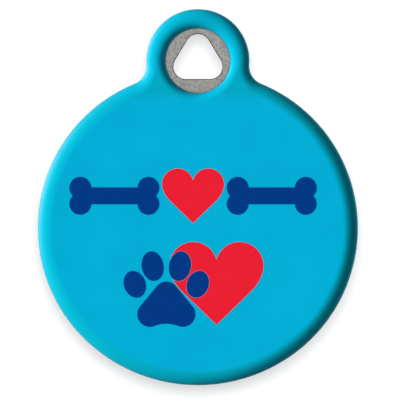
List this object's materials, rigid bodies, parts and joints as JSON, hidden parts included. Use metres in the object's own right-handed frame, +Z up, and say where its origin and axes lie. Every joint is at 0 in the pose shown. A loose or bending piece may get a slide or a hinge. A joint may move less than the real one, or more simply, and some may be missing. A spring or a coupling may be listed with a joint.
{
  "type": "pet id tag",
  "caption": "Round hanging pet tag: a steel plate in a moulded two-part coat, with a bare-steel ring hole in its loop and printed heart, bone and paw figures.",
  "frame": {"origin": "centre of the ring hole's round window, at mid-thickness", "axes": "+Z up as the tag hangs, front face looks along -Y, +X to the right seen from the front"},
  "size_m": [0.032, 0.0033, 0.0376],
  "materials": {
    "steel": "satin",
    "coat": "satin",
    "red_print": "satin",
    "navy_print": "satin"
  },
  "bodies": {
    "root": {"steel_core": "steel", "front_shell": "coat", "rear_shell": "coat", "print_small_heart": "red_print", "print_left_bone": "navy_print", "print_right_bone": "navy_print", "print_large_heart": "red_print", "print_paw_pad": "navy_print", "print_toe_outer_left": "navy_print", "print_toe_inner_left": "navy_print", "print_toe_inner_right": "navy_print", "print_toe_outer_right": "navy_print"}
  },
  "joints": []
}
